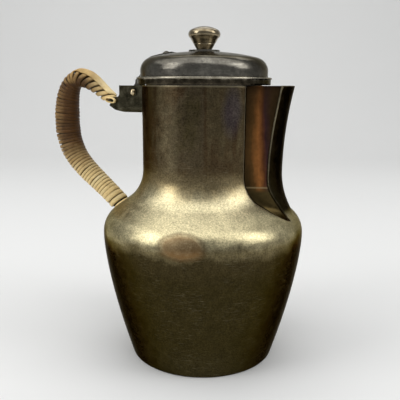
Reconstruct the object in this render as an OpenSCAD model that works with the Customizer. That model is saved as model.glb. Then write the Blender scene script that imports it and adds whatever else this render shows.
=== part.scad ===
// Hotel-ware coffee pot: a raised sheet-metal body with a cut-and-spread spout,
// a hinged domed lid with a turned knob, and a side handle bound in cane.
// The origin is the centre of the base on the table, the spout points to +X,
// the handle to -X, and +Z is up. Sizes are in millimetres.

/* [Body] */
// Widest outer radius of the body
body_r = 61.8; // [56:0.1:68]
// Height of the widest ring above the table
belly_z = 76.5; // [68:0.5:82]
// Height of the straight band above the widest ring
belly_band = 2.6; // [1:0.2:4]
// Outer radius of the body where it meets the base
base_r = 44.8; // [38:0.1:52]
// How full the belly is below its widest ring
belly_power = 1.46; // [1.3:0.02:1.8]
// Radius of the rolled edge round the base
base_edge = 1; // [0.5:0.1:2]
// Thickness of the raised sheet metal
wall = 1; // [0.7:0.1:1.3]
// Thickness of the bottom plate
bottom_t = 1.4; // [1:0.1:2.5]
// Bend radius of the rounded shoulder
shoulder_bend = 15.2; // [12:0.2:18]

/* [Neck] */
// Outer radius of the straight neck
neck_r = 37.1; // [34:0.1:40]
// Bend radius between shoulder and neck
neck_bend = 22.7; // [18:0.2:27]
// Height where the neck becomes straight
neck_z = 116.5; // [113:0.5:121]
// Height of the neck's rim
rim_z = 166.8; // [158:0.1:176]

/* [Spout] */
// Distance from the pot's axis to the slit down each side of the spout
slit_x = 31.5; // [29:0.1:33]
// Distance from the pot's axis to the lower end of the slit
slit_end_x = 57.2; // [55:0.1:57.4]
// Height of the lower end of the slit
slit_end_z = 89.6; // [86:0.2:91]
// Fall of the slit over the shoulder, in degrees
slit_fall = 31.4; // [30:0.2:36]
// Radius of the slit's corner at the foot of the neck
slit_corner = 20; // [12:0.5:22]
// Distance from the pot's axis to the spout front at its waist
waist_x = 48.6; // [46:0.1:51]
// Height of the spout's waist
waist_z = 117; // [112:0.5:122]
// Distance from the pot's axis to the pouring lip
lip_x = 54.2; // [50:0.1:60]
// Half the width of the spout front at the lip
lip_half = 14.4; // [12:0.1:16]
// How far each edge of the spout front flares out at the lip
lip_flare = 1; // [0:0.1:1.6]
// Half the width of the spout front where it is widest, at the foot of the spout
fold_half = 15.6; // [14:0.1:16.5]
// Height where the spout front is widest
fold_z = 113; // [111:0.5:116]
// Half the width of the spout front at its root on the shoulder
root_half = 6.2; // [5.4:0.1:6.3]
// Thickness of the side plates of the spout
cheek_t = 0.9; // [0.6:0.1:1.2]
// How far the side plates lie behind the slit's edge
cheek_recess = 0.9; // [0.4:0.1:1.2]

/* [Lid] */
// How far the band of the lid's rim overhangs the neck
lid_over = 2.7; // [2:0.1:3.6]
// How far the lip of the lid's rim stands out from its band
lid_lip = 0.6; // [0.3:0.1:1]
// Width of the ledge round the foot of the dome
lid_ledge = 2.4; // [2:0.1:3.2]
// Height of the lid's rim from its seat to its ledge
lid_band_h = 4.6; // [3:0.1:6]
// Gap between the closed lid and the neck's rim
lid_gap = 0.4; // [0.3:0.1:0.8]
// Height of the dome above the lid's ledge
dome_h = 14.8; // [11:0.2:18]
// Radius of the dome's rounded side
dome_corner = 8; // [6:0.5:10]
// Radius of the dome's flat crown
dome_crown = 140; // [110:5:190]
// Thickness of the dome's sheet
dome_t = 0.9; // [0.7:0.1:1.2]
// Gap all round between the lid's bezel and the inside of the neck
bezel_gap = 1.4; // [1.4:0.1:2]
// Thickness of the bezel
bezel_t = 0.8; // [0.6:0.1:1.2]
// Depth of the bezel below the lid's seat
bezel_h = 6; // [4:0.5:8]

/* [Knob] */
// Largest radius of the knob
knob_r = 9.5; // [7:0.1:12]
// Height of the knob above its washer
knob_h = 13.7; // [11:0.1:17]
// Radius of the knob's stem at its foot
knob_stem = 4; // [3.2:0.1:5]
// Radius of the washer under the knob
knob_washer_r = 9.2; // [7:0.1:10]
// Thickness of the washers above and below the dome
knob_washer_t = 0.7; // [0.6:0.1:1.5]
// Radius of the threaded stud that holds the knob
stud_r = 1.5; // [1.2:0.1:2]
// Half the width across the corners of the nut inside the lid
nut_r = 3.8; // [3.2:0.1:5]
// Thickness of the nut
nut_h = 2.6; // [2:0.1:4]

/* [Hinge] */
// Distance from the lid's rim to the hinge pin
pin_out = 4; // [3.6:0.1:5]
// Height of the hinge pin below the neck's rim
pin_drop = 4.3; // [4:0.1:6]
// Radius of the hinge pin
pin_r = 1.5; // [1.2:0.1:1.8]
// Running clearance between the pin and the lid's knuckle
pin_gap = 0.05; // [0.03:0.01:0.08]
// Radius of the lid's knuckle
knuckle_r = 3.3; // [3:0.1:3.8]
// Half the width of the lid's strap and knuckle
strap_half = 4; // [3:0.1:5]
// Thickness of the strap where it lies on the dome
strap_t = 1.4; // [1:0.1:2]
// Distance from the pot's axis to the strap's front end
strap_end_x = 17.6; // [16:0.1:19]
// Gap on each side between the knuckle and the bracket's cheeks
knuckle_gap = 0.5; // [0.3:0.1:0.8]
// Thickness of the bracket's cheeks
bracket_t = 1.9; // [1.4:0.1:2.6]
// Height of the bracket
bracket_h = 16.7; // [15:0.1:19]
// Length of the bracket's cheeks from the neck
bracket_l = 17; // [15.6:0.1:19]
// Radius of the washers under the pin's heads
pin_washer_r = 2.6; // [2.3:0.1:3.2]
// Thickness of the curved foot that holds the bracket to the neck
foot_t = 1.1; // [0.8:0.1:1.6]

/* [Handle] */
// Distance from the pot's axis to the middle of the grip
grip_x = 97; // [90:0.5:106]
// Height of the grip's outermost point
grip_z = 143; // [136:1:148]
// Distance from the pot's axis to the crown of the handle
crown_x = 85.5; // [80:0.5:90]
// Height of the middle of the handle at its crown
crown_z = 170.8; // [167:0.2:175]
// Height where the handle lands on the shoulder
landing_z = 89.5; // [86:0.5:93]
// Radius of the bound handle at the bracket
tip_r = 3.9; // [3.4:0.1:5]
// Radius of the bound handle at its crown
crown_r = 5.7; // [4.8:0.1:7]
// Radius of the bound handle at the grip
grip_r = 8.1; // [7:0.1:9.5]
// Radius of the bound handle where it lands
landing_r = 6.3; // [5.4:0.1:7]
// Thickness of the cane binding
cane_t = 1.5; // [1:0.1:2]
// Thickness of the lengthwise cane strip on top of the handle
splint_t = 1.1; // [0.7:0.1:1.6]

/* [Hidden] */

$fn = 96;
tube_fn = 12;          // sides of the swept handle pieces
arc_steps = 10;        // straight steps in each drawn arc
far = 200;             // reach of a cutting block past the pot
plate_color = "#8f866a";
lid_color = "#9a9791";
bracket_color = "#5b5749";
cane_color = "#d9bd8b";

// ---- heights that follow from the sizes above ----
seat_z = rim_z + lid_gap;
ledge_z = seat_z + lid_band_h;
dome_top_z = ledge_z + dome_h;
pin_z = rim_z - pin_drop;

// ---- radii of the lid that follow from the neck ----
lid_band_r = neck_r + lid_over;
lid_r = lid_band_r + lid_lip;
dome_r = lid_r - lid_ledge;
pin_x = lid_r + pin_out;

// ---- outline of the body, as [radius, height] ----
shoulder_c = [body_r - shoulder_bend, belly_z + belly_band];
neck_c = [neck_r + neck_bend, neck_z];
// Direction of the straight run that joins the two bends, measured from +X
centre_step = neck_c - shoulder_c;
bend_turn = atan2(centre_step[1], centre_step[0])
    - acos(min(1, (shoulder_bend + neck_bend) / norm(centre_step)));

function along(a, b, steps) = [for (i = [0 : steps]) a + (b - a) * i / steps];
function arc(c, r, from, to, steps = arc_steps) =
    [for (a = along(from, to, steps)) c + r * [cos(a), sin(a)]];
function belly_x(z) =
    body_r - (body_r - base_r) * pow(max(0, (belly_z - z) / belly_z), belly_power);

// Outline from the base to the rim, moved inwards by depth
function side_line(depth, foot_z) = concat(
    [for (z = along(foot_z, belly_z, 22)) [belly_x(z) - depth, z]],
    arc(shoulder_c, shoulder_bend - depth, 0, bend_turn),
    arc(neck_c, neck_bend + depth, 180 + bend_turn, 180)
);
function outer_line() = concat(
    arc([belly_x(base_edge) - base_edge, base_edge], base_edge, -90, -9, 4),
    side_line(0, base_edge), [[neck_r, rim_z]]
);
function inner_line() = concat(side_line(wall, 0), [[neck_r - wall, rim_z]]);
function reversed(list) = [for (i = [len(list) - 1 : -1 : 0]) list[i]];

// Solid of the body's outside with a film of solder round it, to seat what is fixed on it
solder_t = 0.04;
module body_solid() {
    rotate_extrude($fn = 240) polygon(concat(
        [[0, 0]], side_line(-solder_t, 0), [[neck_r + solder_t, rim_z], [0, rim_z]]));
}

// ---- the slit on each side of the spout, drawn in side view ----
slit_run = 20;         // how far the cut is drawn on past the slit's lower end
fall_dir = [-cos(slit_fall), sin(slit_fall)];
corner_c = let (
    end = [slit_end_x, slit_end_z],
    normal = [sin(slit_fall), cos(slit_fall)],
    x = slit_x + slit_corner,
    // a point at this distance above the falling line, level with x
    run = (slit_corner - (x - end[0]) * normal[0]) / normal[1]
) [x, end[1] + run];

function slit_line() = concat(
    [[slit_x, rim_z + far]],
    arc(corner_c, slit_corner, 180, 270 - slit_fall),
    [[slit_end_x, slit_end_z], [slit_end_x, slit_end_z] - fall_dir * slit_run]
);
// Position of the slit along X at height z
function slit_at(z) =
    z >= corner_c[1] ? slit_x :
    let (low = corner_c + slit_corner * [-sin(slit_fall), -cos(slit_fall)])
    z >= low[1]
        ? corner_c[0] - sqrt(max(0, pow(slit_corner, 2) - pow(z - corner_c[1], 2)))
        : slit_end_x - (z - slit_end_z) / tan(slit_fall);

module spout_side() {
    rotate([90, 0, 0]) linear_extrude(2 * far, center = true)
        polygon(concat(slit_line(), [[far, slit_end_z - slit_run], [far, rim_z + far]]));
}

// ---- the spout front: a strip that leaves the shoulder and leans out to the lip ----
spout_axis = 14;       // the strip is turned about this upright line in front of the pot's axis
waist_lean = waist_x - shoulder_c[0];
waist_rise = waist_z - shoulder_c[1];
root_bend = (pow(waist_lean, 2) + pow(waist_rise, 2) - pow(shoulder_bend, 2))
    / (2 * (shoulder_bend - waist_lean));
root_c = [waist_x + root_bend, waist_z];
root_turn = atan2(root_c[1] - shoulder_c[1], root_c[0] - shoulder_c[0]);
lip_lean = lip_x - waist_x;
lip_rise = rim_z - waist_z;
lip_bend = (pow(lip_lean, 2) + pow(lip_rise, 2)) / (2 * lip_lean);
lip_c = [waist_x + lip_bend, waist_z];

// Centre line of the strip's outer face, moved inwards by depth
function front_line(depth) = concat(
    arc(shoulder_c, shoulder_bend - depth, root_turn - 14, root_turn, 3),
    arc(root_c, root_bend + depth, 180 + root_turn, 180),
    arc(lip_c, lip_bend + depth, 180, 180 - asin(lip_rise / (lip_bend + depth)))
);
function front_at(z, depth = 0) =
    z >= waist_z
        ? lip_c[0] - sqrt(pow(lip_bend + depth, 2) - pow(z - waist_z, 2))
        : root_c[0] - sqrt(pow(root_bend + depth, 2) - pow(z - waist_z, 2));

root_z = shoulder_c[1] + shoulder_bend * sin(root_turn) - 2;
flare_l = 18;          // length of the flared part of the edges below the lip
function ease(t) = (1 - cos(180 * min(1, max(0, t)))) / 2;
// Half the strip's width at height z
function half_at(z) =
    z < fold_z
        ? root_half + (fold_half - root_half) * ease((z - root_z) / (fold_z - root_z))
        : fold_half + (lip_half - fold_half) * ease((z - fold_z) / (rim_z - fold_z))
            + lip_flare * pow(max(0, 1 - (rim_z - z) / flare_l), 2);
// Where the strip's face, moved inwards by depth, stands at half-width v
function strip_at(z, v, depth = 0) =
    spout_axis + sqrt(pow(front_at(z, depth) - spout_axis, 2) - v * v);

// The strip fills the whole slit up to the height where the side plates start
seal_z = slit_end_z + 2.4;
back_gap = 0.03;       // film of solder between the spout front and the side plates
module strip_outline() {
    foot_z = root_z - 8;
    heights = along(foot_z, rim_z, 40);
    polygon(concat([for (z = heights) [half_at(z), z]],
                   [for (z = reversed(heights)) [-half_at(z), z]]));
    translate([-fold_half, foot_z]) square([2 * fold_half, seal_z - back_gap - foot_z]);
}

// ---- the side plates: ruled between the slit's edge and the strip's edge ----
cheek_heights = concat(along(seal_z, corner_c[1] + 2, 16), along(corner_c[1] + 8, rim_z, 9));
cheek_across = 4;

function outer_at(z) =
    z >= neck_z ? neck_r :
    z >= neck_c[1] - neck_bend * sin(bend_turn)
        ? neck_c[0] - sqrt(pow(neck_bend, 2) - pow(neck_c[1] - z, 2)) :
    z <= shoulder_c[1] + shoulder_bend * sin(bend_turn)
        ? shoulder_c[0] + sqrt(pow(shoulder_bend, 2) - pow(z - shoulder_c[1], 2))
        : let (low = shoulder_c + shoulder_bend * [cos(bend_turn), sin(bend_turn)])
          low[0] - (z - low[1]) * tan(bend_turn);

cheek_slant = 2.4;     // most that a slanting plate is deepened to keep its thickness
function cheek_row(z, sink) =
    let (
        x0 = slit_at(z),
        from = [x0, sqrt(max(0, pow(outer_at(z), 2) - x0 * x0)) - cheek_recess],
        // this end lies on the back of the strip
        to = [strip_at(z, half_at(z), wall + back_gap), half_at(z)],
        run = to - from,
        drop = sink * min(cheek_slant, norm(run) / run[0]),
        end_v = to[1] - drop
    )
    [for (p = along(from - [0, drop], [strip_at(z, end_v, wall + back_gap), end_v], cheek_across))
        [p[0], p[1], z]];

// The plate on the right-hand side, where y is below zero
module cheek() {
    n = cheek_across + 1;
    rows = len(cheek_heights);
    outside = [for (z = cheek_heights) each cheek_row(z, 0)];
    inside = [for (z = cheek_heights) each cheek_row(z, cheek_t)];
    points = [for (p = concat(outside, inside)) [p[0], -p[1], p[2]]];
    back = len(outside);
    faces = concat(
        [for (r = [0 : rows - 2], c = [0 : n - 2]) each [
            [r * n + c, r * n + c + 1, (r + 1) * n + c],
            [r * n + c + 1, (r + 1) * n + c + 1, (r + 1) * n + c]]],
        [for (r = [0 : rows - 2], c = [0 : n - 2]) each [
            [back + r * n + c + 1, back + r * n + c, back + (r + 1) * n + c],
            [back + (r + 1) * n + c + 1, back + r * n + c + 1, back + (r + 1) * n + c]]],
        [for (r = [0 : rows - 2]) each [
            [r * n, (r + 1) * n, back + r * n],
            [(r + 1) * n, back + (r + 1) * n, back + r * n],
            [(r + 1) * n + n - 1, r * n + n - 1, back + r * n + n - 1],
            [back + (r + 1) * n + n - 1, (r + 1) * n + n - 1, back + r * n + n - 1]]],
        [for (c = [0 : n - 2]) each [
            [c + 1, c, back + c],
            [back + c + 1, c + 1, back + c],
            [(rows - 1) * n + c, (rows - 1) * n + c + 1, back + (rows - 1) * n + c],
            [(rows - 1) * n + c + 1, back + (rows - 1) * n + c + 1, back + (rows - 1) * n + c]]]
    );
    polyhedron(points, [for (f = faces) reversed(f)], convexity = 6);
}

// ---- the dome's outline ----
crown_c = [0, dome_top_z - dome_crown];
corner_x = dome_r - dome_corner;
dome_turn = acos(corner_x / (dome_crown - dome_corner));
side_c = [corner_x, crown_c[1] + (dome_crown - dome_corner) * sin(dome_turn)];
function dome_line(depth) = concat(
    [[dome_r - depth, ledge_z]],
    arc(side_c, dome_corner - depth, 0, dome_turn),
    [for (a = along(dome_turn, 90, 8)) if (a > dome_turn) crown_c + (dome_crown - depth) * [cos(a), sin(a)]]
);
function crown_at(x, rise = 0) = crown_c[1] + sqrt(pow(dome_crown + rise, 2) - x * x);

module lid_solid() {
    rotate_extrude() polygon(concat([[0, ledge_z]], dome_line(0)));
    translate([0, 0, seat_z]) cylinder(r = lid_r, h = lid_band_h);
}

// ---- the handle's centre line: three smooth bends, as [x, z] ----
function bend3(a, b, c, d, t) =
    a * pow(1 - t, 3) + 3 * b * t * pow(1 - t, 2) + 3 * c * t * t * (1 - t) + d * pow(t, 3);
tip_lean = 31;         // rise of the handle as it leaves the bracket, in degrees
landing_lean = 44;     // fall of the handle as it meets the shoulder, in degrees
tail_l = 7.2;          // length of the bracket's tapered tail
cheek_end_x = neck_r + bracket_l;
tip = [-(cheek_end_x + tail_l), rim_z - bracket_h + 6.4];
crown = [-crown_x, crown_z];
grip = [-grip_x, grip_z];
landing_foot = 0.5;    // thickness of the pad that the handle ends on
landing = [-outer_at(landing_z), landing_z]
    + landing_foot * [-cos(landing_lean), sin(landing_lean)];

handle_steps = [12, 14, 20];
handle_bends = [
    [tip, tip + 11 * [-cos(tip_lean), sin(tip_lean)], crown + [9, 0], crown],
    [crown, crown - [9, 0], grip + [0, 15], grip],
    [grip, grip - [0, 27], landing + 31 * [-cos(landing_lean), sin(landing_lean)], landing]
];
handle_path = [for (i = [0 : 2], k = [0 : handle_steps[i] - (i < 2 ? 1 : 0)])
    let (b = handle_bends[i]) bend3(b[0], b[1], b[2], b[3], k / handle_steps[i])];
handle_radius = [for (i = [0 : 2], k = [0 : handle_steps[i] - (i < 2 ? 1 : 0)])
    let (ends = [tip_r, crown_r, grip_r, landing_r])
    ends[i] + (ends[i + 1] - ends[i]) * ease(k / handle_steps[i])];
handle_count = len(handle_path);

function path_dir(i) =
    let (a = handle_path[max(0, i - 1)], b = handle_path[min(handle_count - 1, i + 1)], d = b - a)
    i == 0 ? [-cos(tip_lean), sin(tip_lean)] :
    i == handle_count - 1 ? [cos(landing_lean), -sin(landing_lean)] : d / norm(d);

// One ring of points round station i of the path
function handle_ring(i, r) =
    let (p = handle_path[i], d = path_dir(i), up = [-d[1], d[0]])
    [for (k = [0 : tube_fn - 1]) let (a = 360 * k / tube_fn)
        [p[0] + up[0] * r * cos(a), r * sin(a), p[1] + up[1] * r * cos(a)]];

// Solid bar through the stations, thinner than the handle by depth
module handle_bar(first, last, depth) {
    n = last - first + 1;
    points = [for (i = [first : last]) each handle_ring(i, handle_radius[i] - depth)];
    faces = concat(
        [[for (k = [tube_fn - 1 : -1 : 0]) k]],
        [for (i = [0 : n - 2], k = [0 : tube_fn - 1]) let (m = (k + 1) % tube_fn) each [
            [i * tube_fn + k, i * tube_fn + m, (i + 1) * tube_fn + k],
            [i * tube_fn + m, (i + 1) * tube_fn + m, (i + 1) * tube_fn + k]]],
        [[for (k = [0 : tube_fn - 1]) (n - 1) * tube_fn + k]]
    );
    polyhedron(points, faces, convexity = 6);
}

// ---- the cane, wound round that bar in close turns ----
wrap_first = 2;        // station where the winding starts
weave_pitch = 4.4;     // pitch of the wide turns between the bracket and the crown
grip_pitch = 2.2;      // pitch of the close turns round the grip
groove_depth = 0.7;    // depth of the groove between one turn and the next
band_edges = [0, 0.24, 0.76];  // where the groove and the two edges of a turn lie in its pitch

// Distance along the handle to each station
handle_s = [for (i = 0, s = 0; i < handle_count;
        s = s + norm(handle_path[min(i + 1, handle_count - 1)] - handle_path[i]), i = i + 1) s];
station_at = [for (i = [0 : handle_count - 1]) [handle_s[i], i]];
wrap_from = handle_s[wrap_first];
wrap_to = handle_s[handle_count - 1];
crown_s = handle_s[handle_steps[0]];
function pitch_at(s) = weave_pitch + (grip_pitch - weave_pitch) * ease((s - crown_s + 4) / 8);
winding = [for (s = wrap_from; s < wrap_to + grip_pitch; s = s + pitch_at(s) / tube_fn) s];
turns = floor(len(winding) / tube_fn) - 1;
last_step = turns * tube_fn;
wind_fit = (wrap_to - wrap_from) / (winding[last_step] - wrap_from);
function wound(k) = wrap_from + wind_fit * (winding[k] - wrap_from);

// Point k of the ring at distance s, at radius cut by depth
function wrap_point(s, k, depth) =
    let (t = lookup(s, station_at), i = min(handle_count - 2, floor(t)), f = t - i,
         a = handle_ring(i, handle_radius[i] - depth)[k % tube_fn],
         b = handle_ring(i + 1, handle_radius[i + 1] - depth)[k % tube_fn])
    a + (b - a) * f;

module cane_turns() {
    lines = len(band_edges);
    span = last_step - tube_fn;      // steps that have a whole turn above them
    strand = [for (k = [0 : last_step]) each k <= span
        ? [for (l = [0 : lines - 1]) wrap_point(
            wound(k) + (wound(k + tube_fn) - wound(k)) * band_edges[l], k, l == 0 ? groove_depth : 0)]
        : [wrap_point(wound(k), k, groove_depth)]];
    low_ring = [for (k = [1 : tube_fn - 1]) wrap_point(wrap_from, k, groove_depth)];
    high_ring = [for (k = [1 : tube_fn - 1]) wrap_point(wrap_to, k, groove_depth)];
    bore = [for (i = [wrap_first : handle_count - 1]) each handle_ring(i, handle_radius[i] - cane_t)];
    low = len(strand);
    high = low + len(low_ring);
    back = high + len(high_ring);
    top = back + (handle_count - 1 - wrap_first) * tube_fn;
    // number of the point on line l at step k
    function at(k, l = 0) = l == lines ? at(k + tube_fn) :
        k <= span ? k * lines + l : span * lines + lines + (k - span - 1);
    function low_at(k) = k % tube_fn == 0 ? at(0) : low + k - 1;
    function high_at(k) = k % tube_fn == 0 ? at(last_step) : high + k - 1;
    faces = concat(
        [for (k = [0 : span - 1], l = [0 : lines - 1]) each [
            [at(k, l), at(k + 1, l), at(k, l + 1)], [at(k + 1, l), at(k + 1, l + 1), at(k, l + 1)]]],
        // the first turn runs out onto a flat end
        [[at(0), low_at(1), at(1)]],
        [for (k = [1 : tube_fn - 1]) each [
            [low_at(k), low_at(k + 1), at(k)], [low_at(k + 1), at(k + 1), at(k)]]],
        [concat([for (l = [0 : lines]) at(0, l)])],
        // and so does the last one
        [for (k = [0 : tube_fn - 2]) each [
            [at(span + k), at(span + k + 1), high_at(k)], [at(span + k + 1), high_at(k + 1), high_at(k)]]],
        [[at(last_step - 1), at(last_step), high_at(tube_fn - 1)]],
        [[for (l = [lines : -1 : 0]) at(span, l)]],
        // bore, and the flat rings at both ends
        [for (i = [0 : handle_count - 2 - wrap_first], k = [0 : tube_fn - 1])
            let (m = (k + 1) % tube_fn, a = back + i * tube_fn, b = a + tube_fn) each [
            [a + m, a + k, b + k], [b + m, a + m, b + k]]],
        [for (k = [0 : tube_fn - 1]) let (m = (k + 1) % tube_fn) each [
            [low_at(m), low_at(k), back + k], [back + m, low_at(m), back + k],
            [high_at(k), high_at(m), top + k], [high_at(m), top + m, top + k]]]
    );
    polyhedron(concat(strand, low_ring, high_ring, bore), faces, convexity = 8);
}

// ---- body ----
module body_shell() {
    color(plate_color) difference() {
        rotate_extrude() polygon(concat(outer_line(), reversed(inner_line())));
        spout_side();
    }
}

module bottom_plate() {
    color(plate_color) cylinder(r = belly_x(0) - wall, h = bottom_t);
}

module spout_front() {
    color(plate_color) intersection() {
        translate([spout_axis, 0, 0]) rotate_extrude()
            polygon([for (p = concat(front_line(0), reversed(front_line(wall)))) p - [spout_axis, 0]]);
        spout_side();
        rotate([90, 0, 90]) linear_extrude(far) strip_outline();
    }
}

module spout_cheek_left() { color(plate_color) mirror([0, 1, 0]) cheek(); }
module spout_cheek_right() { color(plate_color) cheek(); }

// ---- hinge bracket ----
knuckle_half = strap_half + knuckle_gap;
bracket_half = knuckle_half + bracket_t;
bracket_low = rim_z - bracket_h;
bracket_top = rim_z - 0.2;
floor_t = 2.2;         // thickness of the channel's floor
edge_bend = 3.4;       // rounding of the channel's lower edges
tail_r = 2.9;          // half the thickness of the bracket's tail at its end
notch_r = 2.4;         // radius of the notch between the cheeks and the tail
back_clear = 1;        // depth of the open back below the swinging knuckle

// Side view of the bracket, with the handle side to the right
module bracket_outline() {
    end = [-tip[0], tip[1]];
    across = tail_r * [sin(tip_lean), -cos(tip_lean)];
    polygon(concat(
        [[neck_r - 2, bracket_low], [cheek_end_x - 2.4, bracket_low],
         [cheek_end_x + 4, bracket_low + 1.5], end + across, end - across],
        arc([cheek_end_x + notch_r, tip[1] + tail_r + notch_r], notch_r, 250, 180, 6),
        [[cheek_end_x, bracket_top], [neck_r - 2, bracket_top]]
    ));
}

// Plan of the bracket: parallel cheeks, then a tail that narrows to the handle
module bracket_plan() {
    polygon([
        [0, -bracket_half], [-cheek_end_x, -bracket_half], [tip[0] - tail_r, -tail_r - 0.4],
        [tip[0] - tail_r, tail_r + 0.4], [-cheek_end_x, bracket_half], [0, bracket_half]
    ]);
}

module hinge_bracket() {
    color(bracket_color) difference() {
        intersection() {
            mirror([1, 0, 0]) rotate([90, 0, 0])
                linear_extrude(2 * bracket_half, center = true) bracket_outline();
            linear_extrude(far) bracket_plan();
            // channel section with rounded lower edges
            translate([-far / 2, 0, 0]) rotate([90, 0, 90]) linear_extrude(far, center = true) {
                for (s = [-1, 1]) translate([s * (bracket_half - edge_bend), bracket_low + edge_bend])
                    circle(r = edge_bend);
                translate([-bracket_half, bracket_low + edge_bend])
                    square([2 * bracket_half, bracket_h]);
                translate([-bracket_half + edge_bend, bracket_low])
                    square([2 * (bracket_half - edge_bend), bracket_h]);
            }
        }
        cylinder(r = neck_r + foot_t, h = far);
        // channel between the cheeks
        translate([-cheek_end_x + bracket_t, -knuckle_half, bracket_low + floor_t])
            cube([bracket_l, 2 * knuckle_half, bracket_h]);
        // the channel is open at the back, where the strap swings down
        translate([-cheek_end_x - tail_l, -knuckle_half, pin_z - knuckle_r - back_clear])
            cube([bracket_l + tail_l, 2 * knuckle_half, bracket_h]);
        translate([-pin_x, 0, pin_z]) rotate([90, 0, 0])
            cylinder(r = pin_r, h = far, center = true);
    }
}

foot_half = bracket_half + 2.4;
module bracket_foot() {
    color(bracket_color) intersection() {
        difference() {
            translate([0, 0, bracket_low - 1.4])
                cylinder(r = neck_r + foot_t, h = bracket_top - bracket_low + 1.4);
            cylinder(r = neck_r, h = far);
        }
        translate([-far, -foot_half, 0]) cube([far, 2 * foot_half, far]);
    }
}

pin_head_r = 2;        // radius of the pin's domed heads
pin_head_h = 1.1;      // height of the pin's domed heads
pin_washer_t = 0.5;    // thickness of the washers under the heads
pin_half = bracket_half + pin_washer_t;
module hinge_pin() {
    dome = (pow(pin_head_r, 2) + pow(pin_head_h, 2)) / (2 * pin_head_h);
    color(bracket_color) translate([-pin_x, 0, pin_z]) rotate([90, 0, 0]) {
        cylinder(r = pin_r, h = 2 * pin_half, center = true);
        for (s = [0, 1]) mirror([0, 0, s]) intersection() {
            translate([0, 0, pin_half + pin_head_h - dome]) sphere(r = dome);
            translate([0, 0, pin_half]) cylinder(r = pin_head_r, h = pin_head_h);
        }
    }
}

module hinge_washers() {
    color(bracket_color) translate([-pin_x, 0, pin_z]) rotate([90, 0, 0])
        for (s = [0, 1]) mirror([0, 0, s]) translate([0, 0, bracket_half]) difference() {
            cylinder(r = pin_washer_r, h = pin_washer_t);
            translate([0, 0, -1]) cylinder(r = pin_r, h = pin_washer_t + 2);
        }
}

// ---- handle ----
module handle_core() {
    color(bracket_color) handle_bar(0, handle_count - 1, cane_t);
}

module cane_wrap() {
    color(cane_color) cane_turns();
}

// Lengthwise strip of cane on top of the handle, from the crown down to the bracket
splint_turns = [-42, -30, 0, 30, 42];  // directions of the strip's edges round the handle
splint_gap = 0.05;     // clearance between the strip and the binding below it
module cane_splint() {
    first = 1;
    last = handle_steps[0] + 2;
    m = 2 * len(splint_turns);
    points = [for (i = [first : last]) let (
            p = handle_path[i], d = path_dir(i), up = [d[1], -d[0]],
            r = handle_radius[i] + splint_gap,
            section = concat([for (a = splint_turns) r * [sin(a), cos(a)]],
                             [for (a = reversed(splint_turns)) (r + splint_t) * [sin(a), cos(a)]]))
        for (q = section) [p[0] + up[0] * q[1], q[0], p[1] + up[1] * q[1]]];
    n = last - first + 1;
    faces = concat(
        [[for (k = [m - 1 : -1 : 0]) k]],
        [for (i = [0 : n - 2], k = [0 : m - 1]) let (q = (k + 1) % m) each [
            [i * m + k, i * m + q, (i + 1) * m + k],
            [i * m + q, (i + 1) * m + q, (i + 1) * m + k]]],
        [[for (k = [0 : m - 1]) (n - 1) * m + k]]
    );
    color(cane_color) polyhedron(points, faces, convexity = 4);
}

// Pad that carries the lower end of the handle on the shoulder
module handle_foot() {
    color(bracket_color) difference() {
        translate([landing[0], 0, landing[1]]) rotate([0, 90 + landing_lean, 0])
            cylinder(r = landing_r - 0.4, h = landing_foot + 6);
        body_solid();
    }
}

// ---- lid ----
module stud_hole() {
    translate([0, 0, dome_top_z - dome_h / 2]) cylinder(r = stud_r, h = dome_h);
}

module lid_dome() {
    color(lid_color) difference() {
        rotate_extrude() polygon(concat(dome_line(0), reversed(dome_line(dome_t))));
        stud_hole();
        strap_hole();
    }
}

module lid_rim() {
    inner = neck_r - wall - bezel_gap - bezel_t;
    lip_t = 1.1;
    color(lid_color) rotate_extrude() polygon([
        [inner, seat_z], [lid_band_r, seat_z], [lid_band_r, ledge_z - lip_t],
        [lid_r - 0.2, ledge_z - lip_t + 0.1], [lid_r, ledge_z - lip_t + 0.4],
        [lid_r, ledge_z - 0.4], [lid_r - 0.3, ledge_z], [inner, ledge_z]
    ]);
}

module lid_bezel() {
    outer = neck_r - wall - bezel_gap;
    color(lid_color) translate([0, 0, seat_z - bezel_h]) difference() {
        cylinder(r = outer, h = bezel_h);
        translate([0, 0, -1]) cylinder(r = outer - bezel_t, h = bezel_h + 2);
    }
}

rivet_x = strap_end_x + 6.8;  // distance of the strap's rivet from the pot's axis
rivet_r = 1.2;         // radius of the rivet's shank
rivet_head_r = 2.3;    // radius of the rivet's domed head
rivet_head_h = 1.5;    // height of the rivet's domed head
rivet_tail_t = 0.8;    // thickness of the rivet's spread tail under the dome

// Frame of a rivet at distance x: on the crown, square to it
module on_crown(x, rise) {
    tilt = asin(x / dome_crown);
    translate([-x * (dome_crown + rise) / dome_crown, 0, crown_c[1] + cos(tilt) * (dome_crown + rise)])
        rotate([0, -tilt, 0]) children();
}

module strap_hole() {
    on_crown(rivet_x, -2 * dome_t) cylinder(r = rivet_r, h = 2 * (strap_t + dome_t));
}

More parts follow.
